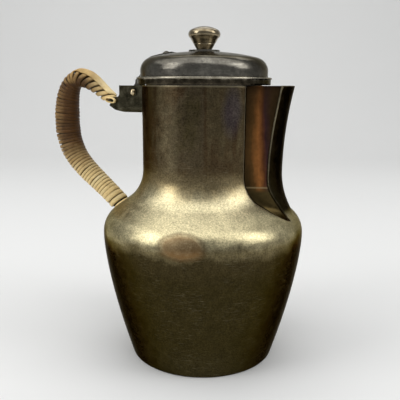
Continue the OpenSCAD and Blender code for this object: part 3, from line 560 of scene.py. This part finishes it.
# ---------------------------------------------------------------- body with its spout tongue, one sheet
TONGUE, SHELL = 20, 180               # faces across the spout front and round the rest of the sheet
FOOT_Z, BELLY_ROWS, BEND_ROWS = 1.4, 44, 9
FINE_STEP, FINE_GROWTH, FINE_TOP = 0.30, 1.30, 111.5   # rows that start close at the slit's end
EVEN_Z, EVEN_ROWS = 112.5, 24         # and even rows from there up to the rim
SLIT_FROM = 0.2                       # the slit opens this far above its end
BLEND_RUN = 3                         # the front leaves the round of the shoulder over this height
BLACK_Z, BLACK_RUN = 91.5, 5          # where the front's painted black shade sets in
cusp_z, cusp_half = slit_end[1], 6.72   # the slit's end: below it each row is a whole ring
cusp_a = math.asin(cusp_half / outer_at(cusp_z))

low_rows = arc((belly_x(base_edge) - base_edge, base_edge), base_edge, -90, -12, 4)
belly_zs = [FOOT_Z + (belly_z - FOOT_Z) * i / BELLY_ROWS for i in range(BELLY_ROWS + 1)]
low_rows += [(belly_x(z), z) for z in belly_zs]
low_rows += [(body_r, belly_z + belly_band * i / 2) for i in (1, 2)]
bend_end = deg(math.asin((cusp_z - shoulder_c[1]) / shoulder_bend))
low_rows += arc(shoulder_c, shoulder_bend, bend_end / BEND_ROWS, bend_end, BEND_ROWS - 1)
up_z = [z for z in (cusp_z + FINE_STEP * (i ** FINE_GROWTH) for i in range(1, 30)) if z < FINE_TOP]
up_z += [EVEN_Z + (rim_z - EVEN_Z) * i / EVEN_ROWS for i in range(EVEN_ROWS + 1)]


def shell_row(z, r, a0):
    """The sheet at height z, from the slit's one edge round the back to the other."""
    angles = [a0 + (2 * pi - 2 * a0) * k / SHELL for k in range(SHELL + 1)]
    return [(r * cos(a), r * sin(a), z) for a in angles]


verts = []
for r, z in low_rows:
    verts += shell_row(z, r, cusp_a)
    between = [-cusp_a + 2 * cusp_a * k / TONGUE for k in range(1, TONGUE)]
    verts += [(r * cos(a), r * sin(a), z) for a in between]
ring = TONGUE + SHELL
faces = tube(len(low_rows), ring)
last = (len(low_rows) - 1) * ring
shell_prev = [last + k for k in range(SHELL + 1)]
tongue_prev = [last + SHELL + k for k in range(TONGUE)] + [last]
black = {}                            # by point number, how black the spout front is, as painted shade
for z in up_z:
    a0 = cusp_a
    if z > cusp_z + SLIT_FROM:
        a0 = max(cusp_a, math.acos(min(1, slit_at(z) / outer_at(z))))
    row = list(range(len(verts), len(verts) + SHELL + 1))
    verts += shell_row(z, outer_at(z), a0)
    faces += stitch(shell_prev, row)
    shell_prev = row
    row = list(range(len(verts), len(verts) + TONGUE + 1))
    blend = ease((z - cusp_z) / BLEND_RUN)
    for k in range(TONGUE + 1):
        v = half_at(z) * (2 * k / TONGUE - 1)
        near, far = math.sqrt(front_at(z) ** 2 - v * v), strip_at(z, v)
        verts.append((near + (far - near) * blend, v, z))
        black[row[k]] = ease((z - BLACK_Z) / BLACK_RUN)
    faces += stitch(tongue_prev, row)
    tongue_prev = row
body = make("body_sheet", verts, faces, "pot", mat_body,
            nodes=("body_shell", "spout_front"), slot="plated_body", sharp=60)
mark_edges(body, faint=black)
mark_points(body, "front", "FLOAT", [black.get(k, 0.0) for k in range(len(verts))])
add_mod(body, "SOLIDIFY", thickness=wall * MM, offset=-1, use_even_offset=False)
add_mod(body, "BEVEL", width=0.28 * MM, segments=3, limit_method="ANGLE", angle_limit=rad(50))

# ---------------------------------------------------------------- spout side plates
# The plate's edge at the slit stands off the sheet: the open line of about 0.9 mm there is a fault.
PLATE_COLS, LOW_ROWS, HIGH_ROWS = 10, 26, 20
PLATE_Z = 90.0                        # the plates start just above the slit's end
FULL_RECESS = 4                       # width of a plate from which it lies at its full recess
SLIT_IN, FRONT_IN, FRONT_TUCK = 0.1, 0.02, 0.35
plate_zs = [PLATE_Z + (fold_z - PLATE_Z) * i / LOW_ROWS for i in range(LOW_ROWS)]
plate_zs += [fold_z + (rim_z - fold_z) * i / HIGH_ROWS for i in range(HIGH_ROWS + 1)]
outline = []
for z in plate_zs:
    x0, half = slit_at(z), half_at(z)
    edge_v = math.sqrt(max(0, outer_at(z) ** 2 - x0 * x0))
    near = min(1, math.hypot(strip_at(z, half) - x0, edge_v - half) / FULL_RECESS)
    a = (x0 + SLIT_IN, edge_v - near * cheek_recess)
    b = (strip_at(z, half, wall) + FRONT_IN, half - FRONT_TUCK)
    for k in range(PLATE_COLS + 1):
        f = k / PLATE_COLS
        outline.append((a[0] + (b[0] - a[0]) * f, a[1] + (b[1] - a[1]) * f, z))
n = PLATE_COLS + 1
quads = [(i * n + k, i * n + k + 1, (i + 1) * n + k + 1, (i + 1) * n + k)
         for i in range(len(plate_zs) - 1) for k in range(PLATE_COLS)]
for side, name in ((1, "left"), (-1, "right")):
    plate = make("spout_plate_" + name, [(x, side * v, z) for x, v, z in outline],
                 [q if side < 0 else q[::-1] for q in quads], "pot", mat_cheek,
                 nodes=("spout_cheek_" + name,), slot="plated_body", recalc=False)
    add_mod(plate, "SOLIDIFY", thickness=cheek_t * MM * 0.9, offset=-1)
    add_mod(plate, "BEVEL", width=0.15 * MM, segments=2, limit_method="ANGLE", angle_limit=rad(50))

# ---------------------------------------------------------------- lid's cover and rim, one spun sheet each
COVER_LIFT = 0.02                     # keeps the cover off the rim's ledge
dome_c_z = dome_top - dome_crown
dome_turn = deg(math.acos((dome_r - dome_corner) / (dome_crown - dome_corner)))
side_c = (dome_r - dome_corner, dome_c_z + (dome_crown - dome_corner) * sin(rad(dome_turn)))


def dome_line(depth):
    pts = [(dome_r - depth, ledge_z + COVER_LIFT)]
    pts += arc(side_c, dome_corner - depth, 0, dome_turn, 14)
    return pts + arc((0, dome_c_z), dome_crown - depth, dome_turn, 89.4, 16)[1:]


lathe("lid_cover", dome_line(0) + dome_line(dome_t)[::-1], "lid", mat_lid,
      nodes=("lid_dome",), slot="plated_lid")
# the rim's section: seat, rounded lower edge, upright band, bead, and the ledge that the cover stands on
rim_in, band_r, rim_top = 33.9, 39.8, 171.75
foot_c, foot_r, bead_c, bead_r = (39.35, seat_z + 0.45), 0.45, (39.75, 170.85), 0.65
rim_line = [(rim_in, seat_z), (39.2, seat_z)] + arc(foot_c, foot_r, -90, 0, 4)
rim_line += [(band_r, 168.6), (band_r, 170.1)] + arc(bead_c, bead_r, -75, 90, 8)
rim_line += [(39.3, 171.46), (38.9, 171.62), (38.2, rim_top), (rim_in, rim_top)]
lathe("lid_flange", rim_line, "lid", mat_rim, nodes=("lid_rim",), slot="plated_lid")

# ---------------------------------------------------------------- knob
knob_z = dome_top + knob_washer_t
knob_crown, knob_edge = 17, 3         # radius of the crown and of the edge
flare_in, flare_power = 1.3, 0.85
groove_h, groove_in = 3.6, 0.28       # a turned groove round the stem
edge_x = knob_r - knob_edge
crown_turn = deg(math.acos(edge_x / (knob_crown - knob_edge)))
edge_z = knob_z + knob_h - knob_crown + (knob_crown - knob_edge) * sin(rad(crown_turn))


def flare_at(h):
    """Radius of the knob's stem at height h."""
    return knob_stem + (knob_r - flare_in - knob_stem) * (h / (knob_h / 2)) ** flare_power


knob_line = [(0.01, knob_z), (knob_stem - 0.4, knob_z)]
knob_line += [(flare_at(h), knob_z + h) for h in (0.05, 0.7, 1.5, 2.3, 3.0, 3.28)]
knob_line += [(flare_at(groove_h) - groove_in, knob_z + groove_h)]
knob_line += [(flare_at(h), knob_z + h) for h in (3.92, 4.2, 5.0, 5.8, 6.6)]
knob_line += arc((edge_x, edge_z), knob_edge, -33, crown_turn, 11)
knob_line += arc((0, knob_z + knob_h - knob_crown), knob_crown, crown_turn, 89.9, 9)[1:]
lathe("knob_turned", knob_line, "lid", mat_knob, segs=128, closed=False,
      nodes=("knob",), slot="plated_lid", sharp=38)

# ---------------------------------------------------------------- handle path
PER_BEND = 120                        # samples in each of the three bends
# how far each bend's control points stand off its ends
tip_pull, crown_pull, grip_up, grip_down, landing_pull = 11, 9, 15, 27, 31
tip = (-(neck_r + bracket_l + tail_l), rim_z - bracket_h + tail_up)
landing = (-outer_at(landing_z) - landing_foot * cos(landing_lean),
           landing_z + landing_foot * sin(landing_lean))
bends = [
    (tip, (tip[0] - tip_pull * cos(tip_lean), tip[1] + tip_pull * sin(tip_lean)),
     (crown[0] + crown_pull, crown[1]), crown),
    (crown, (crown[0] - crown_pull, crown[1]), (grip[0], grip[1] + grip_up), grip),
    (grip, (grip[0], grip[1] - grip_down),
     (landing[0] - landing_pull * cos(landing_lean), landing[1] + landing_pull * sin(landing_lean)), landing)]
radii = (tip_r, crown_r, grip_r, landing_r)
samples = []
for i, bend in enumerate(bends):
    for k in range(PER_BEND):
        t = k / PER_BEND
        w = ((1 - t) ** 3, 3 * t * (1 - t) ** 2, 3 * t * t * (1 - t), t ** 3)
        x, z = (sum(q[axis] * f for q, f in zip(bend, w)) for axis in (0, 1))
        samples.append((x, z, radii[i] + (radii[i + 1] - radii[i]) * ease(t)))
samples.append((*landing, landing_r))
lengths = [0.0]
for p, q in zip(samples, samples[1:]):
    lengths.append(lengths[-1] + math.hypot(q[0] - p[0], q[1] - p[1]))
HANDLE = lengths[-1]
crown_s = lengths[PER_BEND]


def handle_at(s):
    """Centre, forward, outward and side directions and radius at length s along the handle."""
    s = min(max(s, 0), HANDLE - 1e-6)
    lo, hi = 0, len(lengths) - 1
    while hi - lo > 1:
        mid = (lo + hi) // 2
        if lengths[mid] <= s:
            lo = mid
        else:
            hi = mid
    f = (s - lengths[lo]) / (lengths[hi] - lengths[lo])
    p, q = samples[lo], samples[hi]
    c = Vector((p[0] + (q[0] - p[0]) * f, 0, p[1] + (q[1] - p[1]) * f))
    a, b = samples[max(0, lo - 2)], samples[min(len(samples) - 1, hi + 2)]
    d = Vector((b[0] - a[0], 0, b[1] - a[1])).normalized()
    out = Vector((d.z, 0, -d.x))       # away from the inside of the loop
    return c, d, out, Vector((0, 1, 0)), p[2] + (q[2] - p[2]) * f


# ---------------------------------------------------------------- cane strands
# a strand's section, as parts of its width and height, flat below and rounded above
SECTION = [(-0.50, -0.45), (-0.50, 0.10), (-0.42, 0.38), (-0.22, 0.49), (0.0, 0.51), (0.22, 0.49), (0.42, 0.38),
           (0.50, 0.10), (0.50, -0.45), (0.0, -0.48)]


def groove_shade(a, b):
    """How much painted shade the binding gets at a point of its section: most at its edges and back."""
    side = max(0.0, (abs(a) - 0.34) / 0.16) * 0.55
    return min(1.0, max(side, (0.36 - b) / 0.5 if b < 0.36 else 0.0)) ** 0.9


def sweep(name, points, material, shade, nodes=()):
    """Sweep the section along points of (centre, up, width, height), with shade(across, up) as its mark."""
    verts, marks = [], []
    run = 0.0
    for i, (c, up, w, h) in enumerate(points):
        ahead, behind = points[min(len(points) - 1, i + 1)][0], points[max(0, i - 1)][0]
        across = up.cross(ahead - behind).normalized()
        if i:
            run += (c - behind).length
        for a, b in SECTION:
            verts.append(c + across * (a * w) + up * (b * h))
            marks += (run / 10, a, shade(a, b))
    obj = make(name, verts, capped_tube(len(points), len(SECTION)), "pot", material,
               nodes=nodes, slot="cane", sharp=70)
    mark_points(obj, "strand", "FLOAT_VECTOR", marks)


# the binding: one strand from the bracket to the shoulder, each turn a little different
rng = random.Random(7)
STEPS = 24                            # points in a turn
START, END = 0.9, HANDLE - 0.7        # of the winding, along the handle
GRIP_PITCH, WEAVE_MORE, FOOT_MORE = 2.25, 2.15, 1.25
STRAND_T, STRAND_SINK = 1.24, 0.63    # thickness, and depth of its middle below the bound radius
LEAN_BACK = 4.6                       # of the woven turns, under the handle
turns = []
s = START
while s < END - 1.2:
    weave = 1 - ease((s - crown_s + 4) / 9)          # 1 between the bracket and the crown, 0 round the grip
    foot = ease((s - HANDLE + 17) / 9)               # 1 at the last wide turns on the shoulder
    pitch = (GRIP_PITCH + WEAVE_MORE * weave + FOOT_MORE * foot) * rng.uniform(0.90, 1.11)
    lift = rng.uniform(-0.16, 0.13) * (1 - 0.5 * weave)
    slant = rng.uniform(-0.30, 0.30) * (1 - weave)
    width = pitch * (0.985 - 0.33 * weave) * rng.uniform(0.95, 1.03)
    turns.append((s, pitch, lift, slant, width, weave))
    s += pitch
stretch = (END - START) / (s - START)
points = []
for k, (s, pitch, *mine) in enumerate(turns):
    following = turns[min(k + 1, len(turns) - 1)][2:]
    for i in range(STEPS):
        f = i / STEPS
        phi = 2 * pi * f
        lift, slant, width, weave = [a + (b - a) * f for a, b in zip(mine, following)]
        run = START + (s + pitch * f - START) * stretch
        lean = LEAN_BACK * weave * (1 - cos(phi)) / 2
        c, _, out, sidev, r = handle_at(min(run + lean + slant * sin(phi), HANDLE - 0.4))
        radial = out * cos(phi) - sidev * sin(phi)
        swell = 0.10 * ease((run - HANDLE + 12) / 9)
        points.append((c + radial * (r - STRAND_SINK + lift * 0.8 + swell), radial, width, STRAND_T))
sweep("cane_binding", points, mat_cane, groove_shade, nodes=("cane_wrap",))

# the strand's end, laid round the joint with the shoulder
COLLAR_STEPS, COLLAR_FROM, COLLAR_TURN = 24, -28, 150
COLLAR_GAP = 0.42                     # of its centre line, off the shoulder
points = []
for i in range(COLLAR_STEPS + 1):
    phi = rad(COLLAR_FROM - COLLAR_TURN * i / COLLAR_STEPS)
    c, d, out, sidev, r = handle_at(HANDLE - 0.8)
    p = c + (out * cos(phi) + sidev * sin(phi)) * (r + 0.12)
    while math.hypot(p.x, p.y) > outer_at(p.z) + COLLAR_GAP:
        p = p + d * 0.05
    away = Vector((p.x, p.y, 0)).normalized()
    up = (out * cos(phi) + sidev * sin(phi) + away * 0.55 + Vector((0, 0, 0.4))).normalized()
    points.append((p, up, 1.75, 0.9))
# its lower side gets painted shade through the strand mark
sweep("cane_end", points, mat_splint, lambda a, b: 0.4 if b < 0.1 else 0.0)

# the folded loop at the other end, flat against the bracket's tail
LOOP_STEPS, LOOP_C, LOOP_LONG, LOOP_HIGH = 40, Vector((-61.0, -5.35, 157.45)), 3.9, 1.42
e1 = Vector((1, -0.26, -0.13)).normalized()
e2 = (Vector((0, 0, 1)) - e1 * e1.z).normalized()
points = []
for i in range(LOOP_STEPS + 1):
    a = 2 * pi * i / LOOP_STEPS + 0.02
    # the power draws the circle out to a long loop with tight ends
    x = cos(a) * abs(cos(a)) ** -0.30 if abs(cos(a)) > 1e-6 else 0
    flat = Vector((x, sin(a), 0))
    centre = LOOP_C + e1 * (LOOP_LONG * flat.x) + e2 * (LOOP_HIGH * flat.y)
    points.append((centre, (e1 * (flat.x * 0.4) + e2 * flat.y).normalized(), 1.7, 0.85))
# its lower side gets painted shade through the strand mark
sweep("cane_loop", points, mat_splint, lambda a, b: 0.35 if b < -0.2 else 0.0)

# lengthwise strip on top, from the bracket up to the crown and a little past it
ROWS, AROUND = 64, 12
STRIP_FROM, STRIP_PAST, STRIP_UNDER = 0.8, 2.2, 0.12
STRIP_LIFT, RIPPLE, RIPPLE_L = 0.92, 0.10, 4.4   # the strip rises and falls over the turns below it
STRIP_TONE = 40                       # sets its grain apart from the binding's
verts, marks = [], []
for i in range(ROWS + 1):
    f = i / ROWS
    s = STRIP_FROM + (crown_s + STRIP_PAST) * f
    c, _, out, sidev, r = handle_at(s)
    half = 12 + 36 * ease(f / 0.16) - 18 * ease((f - 0.80) / 0.2)      # half its width, in degrees
    lift = STRIP_LIFT - 0.75 * ease((f - 0.88) / 0.12) - 0.25 * (1 - ease(f / 0.05))
    for k in range(AROUND + 1):
        g = 2 * k / AROUND - 1
        phi = rad(half * g)
        edge = max(0.0, abs(g) - 0.55) / 0.45
        ripple = RIPPLE * sin(2 * pi * s / RIPPLE_L + 2.2 * g) * abs(g)
        rr = r + lift * (1 - 0.55 * edge ** 2) + ripple
        verts.append(c + out * (rr * cos(phi)) + sidev * (rr * sin(phi)))
        marks += (s / 10 + STRIP_TONE, g * 2.2, 0.0)
    # the underside, marked for painted shade
    for k in range(AROUND, -1, -1):
        phi = rad(half * (2 * k / AROUND - 1))
        verts.append(c + out * ((r - STRIP_UNDER) * cos(phi)) + sidev * ((r - STRIP_UNDER) * sin(phi)))
        marks += (s / 10 + STRIP_TONE, 0, 0.85)
strip = make("cane_strip", verts, capped_tube(ROWS + 1, 2 * (AROUND + 1)), "pot", mat_splint,
             nodes=("cane_splint",), slot="cane", sharp=60)
mark_points(strip, "strand", "FLOAT_VECTOR", marks)

# ---------------------------------------------------------------- looks of the solids that stay
dark = ("hinge_bracket", "bracket_foot", "hinge_washers", "handle_core", "handle_foot")
looks = {"bottom_plate": mat_body, "hinge_pin": mat_pin, **{name: mat_bracket for name in dark}}
rounding = {"hinge_bracket": 0.45, "hinge_strap": 0.35, "bracket_foot": 0.30,
            "knob_washer": 0.15, "hinge_washers": 0.15}
for name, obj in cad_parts.items():
    if obj.hide_render:
        continue
    obj.data.materials.clear()
    obj.data.materials.append(looks.get(name, mat_lid))
    obj.data.polygons.foreach_set("use_smooth", [True] * len(obj.data.polygons))
    obj.data.set_sharp_from_angle(angle=rad(30))
    if name in rounding:
        add_mod(obj, "BEVEL", width=rounding[name] * MM, segments=3, limit_method="ANGLE", angle_limit=rad(35))


# ---------------------------------------------------------------- floor and backdrop, in metres from here on
def paper_material(colour=(0.80, 0.80, 0.79)):
    m = Nodes("floor_paper")
    tone = m.noise(scale=2.2, detail=3, rough=0.5)
    paper = m.ramp(tone, [(0.3, tuple(v * 0.985 for v in colour)), (0.7, colour)])
    return m.finish(paper, 0.85, metallic=0.0)


CAMERA_TURN = rad(20)                 # of the photo's camera, round the pot
back_dir = Vector((-sin(CAMERA_TURN), cos(CAMERA_TURN), 0))
right_dir = Vector((cos(CAMERA_TURN), sin(CAMERA_TURN), 0))
PAPER_NEAR, PAPER_FAR, PAPER_BEND, PAPER_TOP, PAPER_HALF = -1.6, 0.9, 0.5, 2.4, 2.6
FLOOR_DROP = 0.0001                   # keeps the paper off the pot's foot
prof = [(PAPER_NEAR, 0.0), (PAPER_FAR, 0.0)]
prof += [(PAPER_FAR + PAPER_BEND * sin(rad(a)), PAPER_BEND - PAPER_BEND * cos(rad(a)))
         for a in range(10, 91, 10)]
prof += [(PAPER_FAR + PAPER_BEND, PAPER_TOP)]
verts = []
for side in (-PAPER_HALF, PAPER_HALF):
    for d, z in prof:
        p = back_dir * d + right_dir * side
        verts.append((p.x, p.y, z - FLOOR_DROP))
n = len(prof)
mesh = bpy.data.meshes.new("sweep_paper")
mesh.from_pydata(verts, [], [(i, i + 1, n + i + 1, n + i) for i in range(n - 1)])
mesh.polygons.foreach_set("use_smooth", [True] * len(mesh.polygons))
mesh.materials.append(paper_material())
paper = bpy.data.objects.new("sweep_paper", mesh)
bpy.context.scene.collection.objects.link(paper)

# ---------------------------------------------------------------- light and camera
world = bpy.data.worlds.new("studio")
bpy.context.scene.world = world
world.use_nodes = True
sky = world.node_tree.nodes["Background"]
sky.inputs[0].default_value = (0.55, 0.56, 0.57, 1)
sky.inputs[1].default_value = 0.55


def spot_at(right, back, up):
    """A place given from the camera's side of the pot."""
    p = right_dir * right + back_dir * back
    return (p.x, p.y, up)


def lamp(name, place, aim, size, power):
    data = bpy.data.lights.new(name, "AREA")
    data.shape = "RECTANGLE"
    data.size, data.size_y = size
    data.energy = power
    obj = bpy.data.objects.new(name, data)
    bpy.context.scene.collection.objects.link(obj)
    obj.location = place
    obj.rotation_euler = (Vector(aim) - Vector(place)).to_track_quat("-Z", "Y").to_euler()


POT_MIDDLE = (0, 0, 0.10)
lamp("top_soft", spot_at(-0.05, -0.20, 1.15), POT_MIDDLE, (3.0, 1.0), 13.5)
lamp("left_soft", spot_at(-1.0, -0.50, 0.70), POT_MIDDLE, (0.5, 0.8), 4.6)
lamp("right_soft", spot_at(1.05, -0.35, 0.75), POT_MIDDLE, (0.5, 0.7), 3.2)
lamp("back_soft", spot_at(0.2, 0.9, 1.3), (0, 0.4, 0.0), (1.4, 0.5), 3.5)

# the camera that was fitted to the photo: focal length in pixels, place, and turns in radians
FOCAL_PX, PHOTO_PX, SENSOR = 545.42, 400, 36
CAMERA_PLACE = Vector((0, -0.33486, 0.16652))
pitch, yaw, roll = 0.2060, -0.0058, 0.0066
cam_data = bpy.data.cameras.new("camera")
cam_data.sensor_width = SENSOR
cam_data.lens = FOCAL_PX / PHOTO_PX * SENSOR
cam_data.clip_start = 0.01
cam = bpy.data.objects.new("camera", cam_data)
bpy.context.scene.collection.objects.link(cam)
forward = Vector((sin(yaw) * cos(pitch), cos(yaw) * cos(pitch), -sin(pitch)))
level_right = Vector((cos(yaw), -sin(yaw), 0))
level_up = level_right.cross(forward)
cam_right = level_right * cos(roll) + level_up * sin(roll)
cam_up = -level_right * sin(roll) + level_up * cos(roll)
spin = Matrix.Rotation(CAMERA_TURN, 3, "Z")
cols = [spin @ cam_right, spin @ cam_up, spin @ -forward]
axes = Matrix([[cols[j][i] for j in range(3)] for i in range(3)]).to_4x4()
cam.matrix_world = Matrix.Translation(spin @ CAMERA_PLACE) @ axes
bpy.context.scene.camera = cam
bpy.context.scene.view_settings.view_transform = "Standard"
